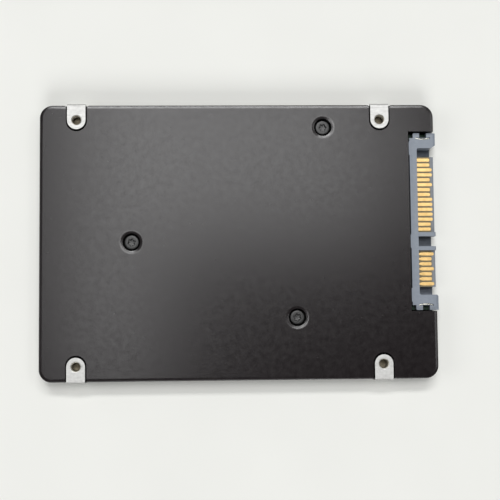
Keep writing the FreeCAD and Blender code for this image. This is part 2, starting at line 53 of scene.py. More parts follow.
# ---------------------------------------------------------------- base case
# Die-cast aluminium tray, label side down, under a satin black powder coat with a fine grain.
# The four mounting pads are milled after painting, so their tops, outer sides and holes are
# bare metal; the hole walls are painted dark as shade. The label side carries only its shallow empty
# recess.
def shade(piece, sharper_than=30):
    """Smooth shading between sharp edges, in which the large flat faces stay flat."""
    shape = bmesh.new()
    shape.from_mesh(piece.data)
    shape.normal_update()
    for edge in shape.edges:
        edge.smooth = edge.calc_face_angle(0) < math.radians(sharper_than)
    shape.to_mesh(piece.data)
    shape.free()
    piece.data.shade_smooth()
    flat_first = piece.modifiers.new("flat_first", "WEIGHTED_NORMAL")
    flat_first.keep_sharp = True
    flat_first.weight = 100
    bpy.context.view_layer.update()
    shaded = piece.evaluated_get(bpy.context.evaluated_depsgraph_get())
    result = bpy.data.meshes.new_from_object(shaded)
    piece.modifiers.remove(flat_first)
    piece.data = result


def soften(piece, radius, sharper_than=30, steps=2, chosen=None):
    """Rounds the sharp edges of a piece, or those of them that a test chooses."""
    shape = bmesh.new()
    shape.from_mesh(piece.data)
    sharp = [
        edge for edge in shape.edges
        if len(edge.link_faces) == 2 and edge.calc_face_angle() > math.radians(sharper_than)
        and (chosen is None or chosen(edge))
    ]
    bmesh.ops.bevel(
        shape, geom=sharp, offset=radius, offset_type="OFFSET", segments=steps,
        profile=0.5, affect="EDGES", clamp_overlap=True,
    )
    shape.to_mesh(piece.data)
    shape.free()


def merged_copy(node, name):
    """Copy of a CAD node with its loose triangles joined up into whole faces."""
    piece = bpy.data.objects.new(name, frame["nodes"][node].data.copy())
    bpy.context.scene.collection.objects.link(piece)
    shape = bmesh.new()
    shape.from_mesh(piece.data)
    bmesh.ops.remove_doubles(shape, verts=shape.verts, dist=0.001 * mm)
    bmesh.ops.dissolve_limit(
        shape, angle_limit=math.radians(0.2), verts=shape.verts, edges=shape.edges
    )
    shape.to_mesh(piece.data)
    shape.free()
    piece.data.materials.clear()
    return piece


def mount_as(piece, slot, *nodes):
    """The piece stands for CAD nodes on the drive's one body, which it hides. The slot is not used.
    """
    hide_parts(*nodes)
    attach(piece, "root")


def start_finish(name):
    """New material, with its nodes, its shader and its object coordinates."""
    finish = bpy.data.materials.new(name)
    finish.use_nodes = True
    nodes = finish.node_tree.nodes
    place = nodes.new("ShaderNodeTexCoord").outputs["Object"]
    return finish, nodes["Principled BSDF"], place


def join(finish, source, target):
    finish.node_tree.links.new(source, target)


def grain(finish, place, size, detail=2.0, stretch=(1, 1, 1)):
    """Noise whose lumps are about one size across, drawn out along an axis by stretch."""
    nodes = finish.node_tree.nodes
    turn = nodes.new("ShaderNodeMapping")
    turn.inputs["Scale"].default_value = [1 / s for s in stretch]
    join(finish, place, turn.inputs["Vector"])
    noise = nodes.new("ShaderNodeTexNoise")
    noise.inputs["Scale"].default_value = 1 / size
    noise.inputs["Detail"].default_value = detail
    join(finish, turn.outputs["Vector"], noise.inputs["Vector"])
    return noise.outputs["Fac"]


def between(finish, factor, low, high, start=0.3, end=0.7):
    """Value that runs from low to high as the factor runs from start to end."""
    spread = finish.node_tree.nodes.new("ShaderNodeMapRange")
    for name, value in (("From Min", start), ("From Max", end), ("To Min", low), ("To Max", high)):
        spread.inputs[name].default_value = value
    join(finish, factor, spread.inputs["Value"])
    return spread.outputs["Result"]


def tint(finish, factor, low, high):
    """Colour from low to high, each plain or already mixed, by a factor from 0 to 1."""
    mix = finish.node_tree.nodes.new("ShaderNodeMix")
    mix.data_type = "RGBA"
    for side, colour in (("A", low), ("B", high)):
        if isinstance(colour, tuple):
            mix.inputs[side].default_value = (*colour, 1)
        else:
            join(finish, colour, mix.inputs[side])
    join(finish, factor, mix.inputs["Factor"])
    return mix.outputs["Result"]


def relief(finish, shader, heights, depth, under=None):
    """Bump of a given depth on the shader, on top of another bump if there is one."""
    bump = finish.node_tree.nodes.new("ShaderNodeBump")
    bump.inputs["Distance"].default_value = depth
    bump.inputs["Strength"].default_value = 1.0
    join(finish, heights, bump.inputs["Height"])
    if under:
        join(finish, under, bump.inputs["Normal"])
    join(finish, bump.outputs["Normal"], shader.inputs["Normal"])
    return bump.outputs["Normal"]


def powder_coat(name, dust=0.0, gloss=0.3):
    """Satin black paint: fine grain, faint mottling, a slight wave and a few specks of dust."""
    finish, shader, place = start_finish(name)
    mottle = between(finish, grain(finish, place, 1.4 * mm, detail=3), 0, 1)
    paint = tint(finish, mottle, (0.0070, 0.0046, 0.0053), (0.0092, 0.0063, 0.0070))
    if dust:
        cells = finish.node_tree.nodes.new("ShaderNodeTexVoronoi")
        cells.inputs["Scale"].default_value = 1 / (2.6 * mm)
        join(finish, place, cells.inputs["Vector"])
        speck = between(finish, cells.outputs["Distance"], dust, 0, 0.02, 0.05)
        paint = tint(finish, speck, paint, (0.25, 0.25, 0.24))
    join(finish, paint, shader.inputs["Base Color"])
    join(finish, between(finish, mottle, 0.20, 0.25, 0, 1), shader.inputs["Roughness"])
    sparkle = grain(finish, place, 0.22 * mm, detail=3)
    join(finish, between(finish, sparkle, 0.9 * gloss, 1.1 * gloss),
         shader.inputs["Specular IOR Level"])
    wave = relief(finish, shader, grain(finish, place, 0.9 * mm), 0.002 * mm)
    pitted = relief(finish, shader, grain(finish, place, 0.35 * mm), 0.0014 * mm, under=wave)
    relief(finish, shader, grain(finish, place, 0.11 * mm), 0.0016 * mm, under=pitted)
    return finish


def worked_metal(name, dark, light, marks_width, marks_depth):
    """Bare metal with the marks of a cutter along X and slightly dull patches."""
    finish, shader, place = start_finish(name)
    marks = grain(finish, place, marks_width, detail=2, stretch=(14, 1, 1))
    patches = between(finish, grain(finish, place, 0.7 * mm, detail=4), 0, 1)
    join(finish, tint(finish, patches, dark, light), shader.inputs["Base Color"])
    shader.inputs["Metallic"].default_value = 1.0
    join(finish, between(finish, marks, 0.5, 0.66), shader.inputs["Roughness"])
    relief(finish, shader, marks, marks_depth)
    return finish


def dull_black_painted_shade(name):
    """Dull, nearly black paint for joints and wells, darker than the coat as painted shade in those
    recesses.
    """
    finish, shader, place = start_finish(name)
    worn = between(finish, grain(finish, place, 0.4 * mm, detail=3), 0, 1)
    join(finish, tint(finish, worn, (0.002, 0.002, 0.002), (0.004, 0.004, 0.004)),
         shader.inputs["Base Color"])
    shader.inputs["Roughness"].default_value = 0.9
    shader.inputs["Specular IOR Level"].default_value = 0.1
    return finish


base_casting = merged_copy("base_case", "base_casting")
case_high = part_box("base_case")[1]
pad_face, pad_top = case_high.y, case_high.z
painted_side = pad_face - 0.3 * mm
cover_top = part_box("cover")[1].z
mounts = {mount["name"]: mount for mount in frame["record"]["mounts"]}
bottom_pattern = mounts["bottom_holes"]
hole_radius = bottom_pattern["dims"]["hole_r_mm"] * mm
hole_half_x = bottom_pattern["dims"]["spacing_x_mm"] * mm / 2
hole_half_y = bottom_pattern["dims"]["spacing_y_mm"] * mm / 2
hole_places = [
    Vector((bottom_pattern["pos_m"][0] + end * hole_half_x, side * hole_half_y, pad_top))
    for end in (-1, 1) for side in (-1, 1)
]
touching = 0.01 * mm
upward = 0.9
chamfer_width = 0.25 * mm
chamfer_depth = 0.1 * mm
drilled_depth = 4.0 * mm
joint_height = pad_top - 1.2 * mm


def in_pad_hole(point):
    nearest = min((point.xy - hole.xy).length for hole in hole_places)
    return nearest < hole_radius + touching


for vert in base_casting.data.vertices:
    if in_pad_hole(vert.co) and abs(pad_top - chamfer_width - vert.co.z) < touching:
        vert.co.z = pad_top - chamfer_depth
for finish in (
    powder_coat("base_powder_coat"),
    worked_metal("milled_pads", (0.50, 0.50, 0.49), (0.60, 0.60, 0.585), 0.2 * mm, 0.003 * mm),
    worked_metal("drilled_metal_painted_shade", (0.10, 0.085, 0.06), (0.24, 0.21, 0.16), 0.1 * mm, 0.01 * mm),
    dull_black_painted_shade("joint_painted_shade"),
):
    base_casting.data.materials.append(finish)
for face in base_casting.data.polygons:
    middle = face.center
    if middle.z > cover_top or abs(middle.y) > painted_side + touching:
        face.material_index = 1
    # Walls of the holes take dark metal: painted shade inside the holes.
    elif in_pad_hole(middle) and middle.z > pad_top - drilled_depth:
        face.material_index = 2
    # Upward faces of the joint below the cover, seen in the gaps round the pads, take painted shade.
    elif abs(middle.z - joint_height) < 5 * touching and face.normal.z > upward:
        face.material_index = 3
shade(base_casting)
mount_as(base_casting, "case_black", "base_case")


# ---------------------------------------------------------------- threads
# M3 threads tapped in the mounting holes, four from above and four from the sides. Each is a
# helical ridge of bare metal that runs down the wall of its hole.
thread_pitch = 0.5 * mm
thread_run = 2.2 * mm
ridge_radius = thread_pitch / 2
ridge_sink = 0.02 * mm
thread_start = 0.4 * mm


def new_tree(name, sizes):
    """Geometry Nodes tree with a Geometry input and output and named number inputs."""
    tree = bpy.data.node_groups.new(name, "GeometryNodeTree")
    tree.interface.new_socket("Geometry", in_out="INPUT", socket_type="NodeSocketGeometry")
    for size_name in sizes:
        tree.interface.new_socket(size_name, in_out="INPUT", socket_type="NodeSocketFloat")
    tree.interface.new_socket("Geometry", in_out="OUTPUT", socket_type="NodeSocketGeometry")
    entry = tree.nodes.new("NodeGroupInput")
    leave = tree.nodes.new("NodeGroupOutput")
    return tree, entry, leave


def tree_node(tree, kind, wires=(), **settings):
    """Node of a tree with its settings and its incoming wires, given as (input, socket)."""
    node = tree.nodes.new(kind)
    for name, value in settings.items():
        setattr(node, name, value)
    for name, source in dict(wires).items():
        if isinstance(source, bpy.types.NodeSocket):
            tree.links.new(source, node.inputs[name])
        else:
            node.inputs[name].default_value = source
    return node


def close_tree(tree, leave, geometry, finish):
    """Real geometry with its material, at the end of a tree."""
    real = tree_node(tree, "GeometryNodeRealizeInstances", {"Geometry": geometry})
    painted = tree_node(
        tree, "GeometryNodeSetMaterial",
        {"Geometry": real.outputs["Geometry"], "Material": finish},
    )
    tree.links.new(painted.outputs["Geometry"], leave.inputs["Geometry"])


def seats(name, places, turns=None):
    """Loose points for a tree to work on, each with its turn about X, Y and Z."""
    points = bpy.data.meshes.new(name)
    points.from_pydata([tuple(place) for place in places], [], [])
    turn = points.attributes.new("turn", "FLOAT_VECTOR", "POINT")
    for index, angles in enumerate(turns or [(0, 0, 0)] * len(places)):
        turn.data[index].vector = angles
    piece = bpy.data.objects.new(name, points)
    bpy.context.scene.collection.objects.link(piece)
    return piece


def grow(piece, tree, sizes):
    """Runs a tree on a piece with its sizes and keeps the result as a plain mesh."""
    worker = piece.modifiers.new(tree.name, "NODES")
    worker.node_group = tree
    for item in tree.interface.items_tree:
        if item.in_out == "INPUT" and item.name in sizes:
            worker[item.identifier] = sizes[item.name]
    bpy.context.view_layer.update()
    grown = piece.evaluated_get(bpy.context.evaluated_depsgraph_get())
    result = bpy.data.meshes.new_from_object(grown)
    piece.modifiers.remove(worker)
    piece.data = result


thread_sizes = {
    "Turns": thread_run / thread_pitch,
    "Radius": hole_radius + ridge_sink,
    "Run": thread_run,
    "Ridge": ridge_radius,
}
thread_tree, thread_in, thread_out = new_tree("tapped_threads", thread_sizes)
helix = tree_node(
    thread_tree, "GeometryNodeCurveSpiral",
    {
        "Resolution": 28,
        "Rotations": thread_in.outputs["Turns"],
        "Start Radius": thread_in.outputs["Radius"],
        "End Radius": thread_in.outputs["Radius"],
        "Height": thread_in.outputs["Run"],
    },
)
ridge = tree_node(
    thread_tree, "GeometryNodeCurvePrimitiveCircle",
    {"Resolution": 4, "Radius": thread_in.outputs["Ridge"]},
)
swept = tree_node(
    thread_tree, "GeometryNodeCurveToMesh",
    {
        "Curve": helix.outputs["Curve"],
        "Profile Curve": ridge.outputs["Curve"],
        "Fill Caps": True,
    },
)
hole_turn = tree_node(
    thread_tree, "GeometryNodeInputNamedAttribute", {"Name": "turn"}, data_type="FLOAT_VECTOR"
)
placed = tree_node(
    thread_tree, "GeometryNodeInstanceOnPoints",
    {
        "Points": thread_in.outputs["Geometry"],
        "Instance": swept.outputs["Mesh"],
        "Rotation": hole_turn.outputs["Attribute"],
    },
)
thread_metal = worked_metal(
    "cut_thread", (0.42, 0.39, 0.32), (0.72, 0.69, 0.61), 0.1 * mm, 0.01 * mm
)
close_tree(thread_tree, thread_out, placed.outputs["Instances"], thread_metal)

thread_places, thread_turns = [], []
side_hole_height = mounts["side_holes_plus_y"]["pos_m"][2]
for hole in hole_places:
    side = math.copysign(1, hole.y)
    thread_places.append(hole - Vector((0, 0, thread_start + thread_run)))
    thread_turns.append((0, 0, 0))
    mouth = side * (pad_face - thread_start)
    thread_places.append(Vector((hole.x, mouth, side_hole_height)))
    thread_turns.append((side * math.pi / 2, 0, 0))
hole_threads = seats("hole_threads", thread_places, thread_turns)
grow(hole_threads, thread_tree, thread_sizes)
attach(hole_threads, "root")


# ---------------------------------------------------------------- circuit board
# Glass-epoxy board under dark green solder mask, clamped between the standoffs and the columns
# of the cover. Copper tracks show as lighter lines, and the cut edge shows the bare laminate.
def lay_finish(node, finish):
    """The finish of a CAD node that keeps its own shape."""
    slots = frame["nodes"][node].data.materials
    slots.clear()
    slots.append(finish)


def along(finish, place, axis):
    """Distance from the origin of the drive along X, Y or Z."""
    apart = finish.node_tree.nodes.new("ShaderNodeSeparateXYZ")
    join(finish, place, apart.inputs["Vector"])
    return apart.outputs[axis]


def combine(finish, operation, first, second):
    """Product of two numbers (MULTIPLY) or the larger of them (MAXIMUM)."""
    maths = finish.node_tree.nodes.new("ShaderNodeMath")
    maths.operation = operation
    join(finish, first, maths.inputs[0])
    join(finish, second, maths.inputs[1])
    return maths.outputs["Value"]


def outside(finish, place, bottom, top, fade):
    """1 above the top and below the bottom, 0 from one to the other, fading over a height."""
    height = along(finish, place, "Z")
    over = between(finish, height, 0, 1, top, top + fade)
    under = between(finish, height, 1, 0, bottom - fade, bottom)
    return combine(finish, "MAXIMUM", over, under)


board_low, board_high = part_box("circuit_board")
track_width = 0.35 * mm
mask_depth = 0.06 * mm
mask_fade = 0.01 * mm
solder_mask, mask_shader, mask_place = start_finish("solder_mask")
tracks = solder_mask.node_tree.nodes.new("ShaderNodeTexBrick")
tracks.inputs["Scale"].default_value = 1.0
tracks.inputs["Brick Width"].default_value = 5 * track_width
tracks.inputs["Row Height"].default_value = 2 * track_width
tracks.inputs["Mortar Size"].default_value = track_width / 6
tracks.inputs["Mortar Smooth"].default_value = 0.2
join(solder_mask, mask_place, tracks.inputs["Vector"])
mask_colour = tint(solder_mask, tracks.outputs["Fac"], (0.006, 0.027, 0.013), (0.010, 0.044, 0.021))
masked = outside(
    solder_mask, mask_place, board_low.z + mask_depth, board_high.z - mask_depth, mask_fade
)
board_colour = tint(solder_mask, masked, (0.19, 0.17, 0.07), mask_colour)
join(solder_mask, board_colour, mask_shader.inputs["Base Color"])
join(
    solder_mask,
    between(solder_mask, grain(solder_mask, mask_place, 2 * mm), 0.42, 0.54),
    mask_shader.inputs["Roughness"],
)
mask_shader.inputs["Specular IOR Level"].default_value = 0.25
relief(solder_mask, mask_shader, tracks.outputs["Fac"], 0.02 * mm)
lay_finish("circuit_board", solder_mask)


# ---------------------------------------------------------------- chips
# Moulded black epoxy packages over a thin green substrate, reflowed to the board. The mould
# leaves a fine matt skin.
def moulding_compound(name, substrate_top, substrate_bottom):
    """Matt black epoxy, with a green substrate between two heights."""
    finish, shader, place = start_finish(name)
    speckle = between(finish, grain(finish, place, 0.12 * mm, detail=4), 0, 1)
    epoxy = tint(finish, speckle, (0.017, 0.017, 0.018), (0.034, 0.034, 0.036))
    moulded = outside(finish, place, substrate_bottom, substrate_top, 0.005 * mm)
    package = tint(finish, moulded, (0.02, 0.09, 0.05), epoxy)
    join(finish, package, shader.inputs["Base Color"])
    join(finish, between(finish, speckle, 0.5, 0.62, 0, 1), shader.inputs["Roughness"])
    relief(finish, shader, grain(finish, place, 0.06 * mm), 0.004 * mm)
    return finish


substrate = 0.3 * mm
package_finish = moulding_compound(
    "moulding_compound", board_high.z + substrate, board_low.z - substrate
)
for chip in (
    "controller_chip", "dram_chip", "flash_chips_cover_side", "flash_chips_base_side",
    "boot_flash_chip", "power_management_chip", "load_switch",
):
    lay_finish(chip, package_finish)


# ---------------------------------------------------------------- small parts
# Inductors of pressed ferrite, moulded tantalum capacitors, and ceramic capacitors, resistors,
# suppressor and fuse with tinned end caps, all soldered flat on the board.
def fired_body(name, dark, light, size, roughness):
    """Granular body colour of a ceramic, ferrite or moulded part."""
    finish, shader, place = start_finish(name)
    lumps = between(finish, grain(finish, place, size, detail=4), 0, 1)
    join(finish, tint(finish, lumps, dark, light), shader.inputs["Base Color"])
    rough = between(finish, lumps, roughness, roughness + 0.12, 0, 1)
    join(finish, rough, shader.inputs["Roughness"])
    relief(finish, shader, lumps, size / 20)
    return finish


def tin_plate(name, stretch=(5, 1, 1), dark=(0.56, 0.56, 0.54), light=(0.76, 0.76, 0.73)):
    """Bright or dulled tin with faint rolling lines."""
    finish, shader, place = start_finish(name)
    lines = grain(finish, place, 0.12 * mm, detail=3, stretch=stretch)
    tin = tint(finish, between(finish, lines, 0, 1), dark, light)
    join(finish, tin, shader.inputs["Base Color"])
    shader.inputs["Metallic"].default_value = 1.0
    join(finish, between(finish, lines, 0.24, 0.4), shader.inputs["Roughness"])
    relief(finish, shader, lines, 0.003 * mm)
    return finish


def separate_solids(node):
    """Lowest and highest corner of each loose solid of a CAD node, along X then Y."""
    shape = bmesh.new()
    shape.from_mesh(frame["nodes"][node].data)
    bmesh.ops.remove_doubles(shape, verts=shape.verts, dist=0.001 * mm)
    waiting = set(shape.verts)
    corners = []
    while waiting:
        reached = [waiting.pop()]
        for vert in reached:
            for edge in vert.link_edges:
                other = edge.other_vert(vert)
                if other in waiting:
                    waiting.remove(other)
                    reached.append(other)
        low = Vector([min(vert.co[axis] for vert in reached) for axis in range(3)])
        high = Vector([max(vert.co[axis] for vert in reached) for axis in range(3)])
        corners.append((low, high))
    shape.free()
    return sorted(corners, key=lambda pair: (round(pair[0].x, 6), round(pair[0].y, 6)))


cap_share = 0.2
small_parts = {
    "tantalum_capacitors": ("tantalum_yellow", (0.62, 0.36, 0.05), (0.76, 0.47, 0.08), 0.35),
    "ceramic_capacitors": ("ceramic_tan", (0.33, 0.22, 0.13), (0.45, 0.32, 0.20), 0.5),
    "chip_resistors": ("chip_black", (0.012, 0.012, 0.012), (0.03, 0.03, 0.03), 0.3),
    "surge_suppressor": ("chip_black", (0.02, 0.02, 0.02), (0.04, 0.04, 0.04), 0.5),
    "fuse": ("ceramic_white", (0.62, 0.62, 0.58), (0.76, 0.76, 0.72), 0.35),
}
end_tin = tin_plate("end_tin")
for node, (slot, dark, light, roughness) in small_parts.items():
    part = merged_copy(node, node + "_plated")
    part.data.materials.append(fired_body(node + "_body", dark, light, 0.15 * mm, roughness))
    part.data.materials.append(end_tin)
    solids = separate_solids(node)
    for face in part.data.polygons:
        for low, high in solids:
            if low.x <= face.center.x <= high.x and low.y <= face.center.y <= high.y:
                from_middle = abs(face.center.x - (low.x + high.x) / 2) / (high.x - low.x)
                face.material_index = int(from_middle > 0.5 - cap_share)
    shade(part)
    mount_as(part, slot, node)

ferrite = fired_body("pressed_ferrite", (0.035, 0.035, 0.038), (0.065, 0.064, 0.066), 0.2 * mm, 0.6)
lay_finish("power_inductors", ferrite)
lay_finish("clock_crystal", tin_plate("crystal_can", stretch=(1, 8, 1)))


# ---------------------------------------------------------------- thermal pads
# Soft silicone sheet, filled with ceramic powder and cut to the chips, pressed between them
# and the case.
silicone, silicone_shader, silicone_place = start_finish("filled_silicone")
filler = between(silicone, grain(silicone, silicone_place, 0.25 * mm, detail=5), 0, 1)
silicone_colour = tint(silicone, filler, (0.25, 0.28, 0.33), (0.36, 0.39, 0.44))
join(silicone, silicone_colour, silicone_shader.inputs["Base Color"])
join(silicone, between(silicone, filler, 0.55, 0.8, 0, 1), silicone_shader.inputs["Roughness"])
relief(silicone, silicone_shader, filler, 0.02 * mm)
for pad in (
    "controller_thermal_pad", "dram_thermal_pad",
    "flash_thermal_pads_cover_side", "flash_thermal_pads_base_side",
):
    lay_finish(pad, silicone)


# ---------------------------------------------------------------- plug housing
# One moulding of blue-grey glass-filled nylon: back wall, guide arms, the two keyed blades and a
# thin web below them. Its edges are slightly round from the mould. The web is painted darker as
# shade in the mouth of the plug, and the blade faces between the contacts are painted olive: painted
# shade with a painted reflection of the gold.
nylon, nylon_shader, nylon_place = start_finish("blue_grey_nylon")
flow = between(nylon, grain(nylon, nylon_place, 0.9 * mm, detail=3), 0, 1)
nylon_colour = tint(nylon, flow, (0.200, 0.230, 0.275), (0.235, 0.265, 0.310))
join(nylon, nylon_colour, nylon_shader.inputs["Base Color"])
join(nylon, between(nylon, flow, 0.42, 0.52, 0, 1), nylon_shader.inputs["Roughness"])
relief(nylon, nylon_shader, grain(nylon, nylon_place, 0.08 * mm), 0.003 * mm)

plug_moulding = merged_copy("connector_housing", "plug_moulding")
plug_low, plug_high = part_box("connector_housing")
web_thickness = 0.3 * mm
web_inset = 3.7 * mm
web_rear = plug_high.x - 5.0 * mm
web_front = case_high.x - 0.05 * mm
web_middle = Vector((
    (web_rear + web_front) / 2, (plug_low.y + plug_high.y) / 2, plug_low.z + web_thickness / 2
))
web_size = (web_front - web_rear, plug_high.y - plug_low.y - 2 * web_inset, web_thickness, 1)
moulded = bmesh.new()
moulded.from_mesh(plug_moulding.data)
bmesh.ops.create_cube(
    moulded, size=1, matrix=Matrix.Translation(web_middle) @ Matrix.Diagonal(web_size)
)
moulded.to_mesh(plug_moulding.data)
moulded.free()
soften(plug_moulding, 0.06 * mm)
plug_moulding.data.materials.append(nylon)
web_nylon_painted_shade, web_shader, web_place = start_finish("web_nylon_painted_shade")
web_flow = between(web_nylon_painted_shade, grain(web_nylon_painted_shade, web_place, 0.9 * mm, detail=3), 0, 1)
# The web is the same nylon painted darker: painted shade deep in the mouth of the plug.
join(web_nylon_painted_shade, tint(web_nylon_painted_shade, web_flow, (0.075, 0.088, 0.110), (0.105, 0.122, 0.150)),
     web_shader.inputs["Base Color"])
web_shader.inputs["Roughness"].default_value = 0.6
plug_moulding.data.materials.append(web_nylon_painted_shade)

blade_face_height = plug_high.z - 1.55 * mm
blade_nylon_painted_reflection_and_shade, blade_shader, blade_place = start_finish("blade_nylon_painted_reflection_and_shade")
past_contacts = between(
    blade_nylon_painted_reflection_and_shade, along(blade_nylon_painted_reflection_and_shade, blade_place, "X"),
    0, 1, plug_high.x - 1.5 * mm, plug_high.x - 1.0 * mm,
)
# Between the contacts the blade faces are painted olive: painted shade with a painted reflection of
# the gold.
join(blade_nylon_painted_reflection_and_shade, tint(blade_nylon_painted_reflection_and_shade, past_contacts, (0.165, 0.130, 0.062), (0.190, 0.205, 0.225)),
     blade_shader.inputs["Base Color"])
blade_shader.inputs["Roughness"].default_value = 0.5
plug_moulding.data.materials.append(blade_nylon_painted_reflection_and_shade)
for face in plug_moulding.data.polygons:
    if face.normal.z > upward:
        if face.center.z < plug_low.z + web_thickness + touching:
            face.material_index = 1
        elif abs(face.center.z - blade_face_height) < 2 * touching:
            face.material_index = 2
shade(plug_moulding)
mount_as(plug_moulding, "plug_grey", "connector_housing")


# ---------------------------------------------------------------- contacts
# Stamped copper-alloy strips with a brushed gold flash, sunk in the faces of the blades, their
# edges rolled slightly round. Behind the wall of the housing their tails are tinned and soldered,
# and painted near black as shade.
gold, gold_shader, gold_place = start_finish("gold_flash")
strokes = grain(gold, gold_place, 0.05 * mm, detail=2, stretch=(14, 1, 1))
wash = between(gold, grain(gold, gold_place, 1.1 * mm, detail=2), 0, 1)
gilt = tint(gold, wash, (0.55, 0.37, 0.15), (0.68, 0.47, 0.20))
past_tail = between(
    gold, along(gold, gold_place, "X"), 0, 1, plug_low.x + 0.3 * mm, plug_low.x + 0.5 * mm
)
# The tails behind the back wall are painted near black as shade.
gilt_with_shaded_tails = tint(gold, past_tail, (0.050, 0.048, 0.045), gilt)
join(gold, gilt_with_shaded_tails, gold_shader.inputs["Base Color"])
gold_shader.inputs["Metallic"].default_value = 1.0
join(gold, between(gold, strokes, 0.38, 0.5), gold_shader.inputs["Roughness"])
relief(gold, gold_shader, strokes, 0.002 * mm)

for node, name in (("power_contacts", "power_strips"), ("signal_contacts", "signal_strips")):
    strips = merged_copy(node, name)
    soften(strips, 0.035 * mm)
    strips.data.materials.append(gold)
    shade(strips)
    mount_as(strips, "contact_gold", node)


# ---------------------------------------------------------------- hold-downs
# Two strips of tinned spring metal, stamped and bent to an arch. They stand in slots in the ears
# of the plug and hold it to the board.
hold_down_strips = merged_copy("connector_hold_downs", "hold_down_strips")
soften(hold_down_strips, 0.04 * mm)
hold_down_strips.data.materials.append(
    tin_plate("spring_tin", dark=(0.42, 0.42, 0.38), light=(0.62, 0.62, 0.56))
)
shade(hold_down_strips)
mount_as(hold_down_strips, "tin_plate", "connector_hold_downs")


# ---------------------------------------------------------------- cover
# Aluminium plate under the same powder coat as the base, with dished screw wells, notches round
# the pads and a cut-out for the plug. Its outer edge is rounded, and a little dust lies on it.
def at_cover_face(edge):
    return all(abs(vert.co.z - cover_top) < touching for vert in edge.verts)


edge_round = 0.8 * mm
border_slope = math.tan(math.radians(9))
lip_round = 0.3 * mm
corner_round = 3.2 * mm


def from_outline(point):
    """Distance of a point of the cover in from the outline of the case."""
    middle_x = (cover_low.x + cover_high.x) / 2
    over_x = abs(point.x - middle_x) - (cover_high.x - cover_low.x) / 2 + corner_round
    over_y = abs(point.y) - cover_high.y + corner_round
    corner = math.hypot(max(over_x, 0), max(over_y, 0)) + min(max(over_x, over_y), 0)
    return max(corner_round - corner, 0)


def round_drop(distance, radius):
    """How far an edge round has fallen, at a distance in from the wall."""
    return radius - math.sqrt(max(radius ** 2 - (radius - distance) ** 2, 0))


cover_plate = merged_copy("cover", "cover_plate")
cover_low, cover_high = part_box("cover")
for vert in cover_plate.data.vertices:
    inward = from_outline(vert.co)
    on_edge_round = abs(cover_top - vert.co.z - round_drop(inward, edge_round)) < 2 * touching
    if inward < edge_round and on_edge_round:
        drop = border_slope * (edge_round - max(inward, lip_round))
        if inward < lip_round:
            drop += round_drop(inward, lip_round)
        vert.co.z = cover_top - drop

screw_solids = separate_solids("cover_screws")
screw_places = [((low + high) / 2).xy for low, high in screw_solids]
dish_radius = 3.0 * mm
bore_radius = 2.225 * mm
dish_depth = 0.18 * mm
rim_slope = math.tan(math.radians(8))
bore_slope = math.tan(math.radians(11.5))


def from_screw(point):
    return min((point.xy - place).length for place in screw_places)


for vert in cover_plate.data.vertices:
    inward = dish_radius - from_screw(vert.co)
    share = inward / (dish_radius - bore_radius)
    if 0 < share < 1.01 and vert.co.z > cover_top - dish_depth - touching:
        slope = rim_slope + (bore_slope - rim_slope) * share / 2
        vert.co.z = cover_top - slope * inward
soften(cover_plate, 0.12 * mm, sharper_than=20, chosen=at_cover_face)
for finish in (
    powder_coat("cover_powder_coat", dust=0.25),
    dull_black_painted_shade("well_painted_shade"),
    powder_coat("edge_powder_coat", gloss=0.5),
):
    cover_plate.data.materials.append(finish)
level_face = 0.998
border_depth = 0.4 * mm
for face in cover_plate.data.polygons:
    # Bores and seats of the screw wells take the dull black, painted as shade.
    if from_screw(face.center) < bore_radius + touching:
        face.material_index = 1
    elif face.normal.z < level_face and face.center.z > cover_top - border_depth:
        face.material_index = 2
shade(cover_plate)
mount_as(cover_plate, "case_black", "cover")


# ---------------------------------------------------------------- cover screws
# Three low-head screws of black zinc-plated steel with six-lobe recesses and rolled threads,
# sunk in the wells of the cover. Below the head top the zinc is painted near black as shade, all but
# the recess floor.
screw_bottom, screw_top = screw_solids[0][0].z, screw_solids[0][1].z
head_radius = (screw_solids[0][1].x - screw_solids[0][0].x) / 2
head_height = 0.7 * mm
shank_radius = 0.75 * mm
screw_pitch = 0.4 * mm
screw_thread_depth = 0.1 * mm
recess_radius = 0.86 * mm
recess_lobe = 0.13 * mm
recess_depth = 0.55 * mm
around = 48


def screw_radius(angle, level, plain, lobe):
    """Radius at an angle: round, lobed in the recess, or on the thread of the shank."""
    if lobe:
        return plain + lobe * math.cos(6 * angle)
    if level < screw_top - head_height and plain == shank_radius:
        turn = (level / screw_pitch - angle / (2 * math.pi)) % 1
        return plain - screw_thread_depth * abs(2 * turn - 1)
    return plain


seat = screw_top - head_height
thread_rings = int((seat - screw_bottom) / screw_pitch * 6)
rings = [(screw_bottom, shank_radius * 0.55, 0)]
rings += [
    (screw_bottom + (seat - screw_bottom) * step / thread_rings, shank_radius, 0)
    for step in range(thread_rings)
]
rings += [
    (seat, shank_radius + 0.02 * mm, 0),
    (seat, head_radius - 0.05 * mm, 0),
    (seat + 0.05 * mm, head_radius, 0),
    (screw_top - 0.04 * mm, head_radius, 0),
    (screw_top - 0.01 * mm, head_radius - 0.01 * mm, 0),
    (screw_top, head_radius - 0.04 * mm, 0),
    (screw_top, head_radius - 0.45 * mm, 0),
    (screw_top, recess_radius + 0.06 * mm, recess_lobe),
    (screw_top - 0.04 * mm, recess_radius + 0.01 * mm, recess_lobe),
    (screw_top - recess_depth, recess_radius - 0.1 * mm, recess_lobe),
]
screw_shape = bmesh.new()
loops = []
for level, plain, lobe in rings:
    loops.append([
        screw_shape.verts.new((
            screw_radius(angle, level, plain, lobe) * math.cos(angle),
            screw_radius(angle, level, plain, lobe) * math.sin(angle),
            level,
        ))
        for angle in (2 * math.pi * step / around for step in range(around))
    ])
for lower, upper in zip(loops, loops[1:]):
    for step in range(around):
        after = (step + 1) % around
        screw_shape.faces.new((lower[step], lower[after], upper[after], upper[step]))
tip = screw_shape.verts.new((0, 0, screw_bottom))
